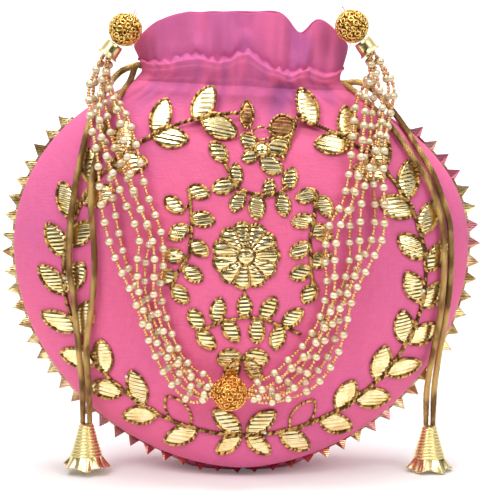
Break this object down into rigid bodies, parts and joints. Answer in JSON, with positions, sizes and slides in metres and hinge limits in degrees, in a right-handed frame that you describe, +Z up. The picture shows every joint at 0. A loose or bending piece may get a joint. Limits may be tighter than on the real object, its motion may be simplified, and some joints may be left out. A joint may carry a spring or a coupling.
{
  "type": "potli bag",
  "caption": "Round cloth drawstring bag with a frilled neck, gold leaf appliqué, zigzag edging, cone tassels on two cords and a pearl strand handle.",
  "frame": {"origin": "on the surface it stands on, in the middle of the box of the bag without its free cords", "axes": "+Z up, -Y the decorated front, +X to the right seen from the front"},
  "size_m": [0.2491, 0.0992, 0.2416],
  "materials": {
    "pink_cloth": "soft satin-faced silk blend",
    "lining_cloth": "plain woven lining",
    "gold_foil": "ribbed metallised ribbon",
    "cord_braid": "braided brown gold thread",
    "gold_metal": "bright plated",
    "pearl": "cream pearl lustre",
    "nylon": "clear thread"
  },
  "bodies": {
    "bag": {"front_panel": "pink_cloth", "back_panel": "pink_cloth", "lining": "lining_cloth", "zigzag_edging": "gold_foil", "wreath_left": "gold_foil", "wreath_right": "gold_foil", "flower_centre": "gold_foil", "flower_top": "gold_foil", "spray_left": "gold_foil", "spray_right": "gold_foil", "spray_lower": "gold_foil", "spray_top": "gold_foil", "bow_lower": "gold_foil", "drawstring_left_channel": "cord_braid", "drawstring_right_channel": "cord_braid", "drawstring_left_inner": "cord_braid", "drawstring_left_outer": "cord_braid", "drawstring_right_inner": "cord_braid", "drawstring_right_outer": "cord_braid", "bell_left": "gold_metal", "bell_right": "gold_metal"},
    "handle": {"end_ball_left": "gold_metal", "end_ball_right": "gold_metal", "end_cap_left": "gold_metal", "end_cap_right": "gold_metal", "centre_bead": "gold_metal", "tie_left": "nylon", "tie_right": "nylon", "pearl_strand_1": "pearl", "pearl_strand_2": "pearl", "pearl_strand_3": "pearl", "pearl_strand_4": "pearl", "pearl_strand_5": "pearl", "pearl_strand_6": "pearl"}
  },
  "joints": [
    {"name": "handle_swing", "type": "hinge", "parent": "bag", "child": "handle", "pos_m": [0, 0.00854, 0.21893], "axis": [-1, 0, 0], "range_deg": [0, 170]}
  ]
}
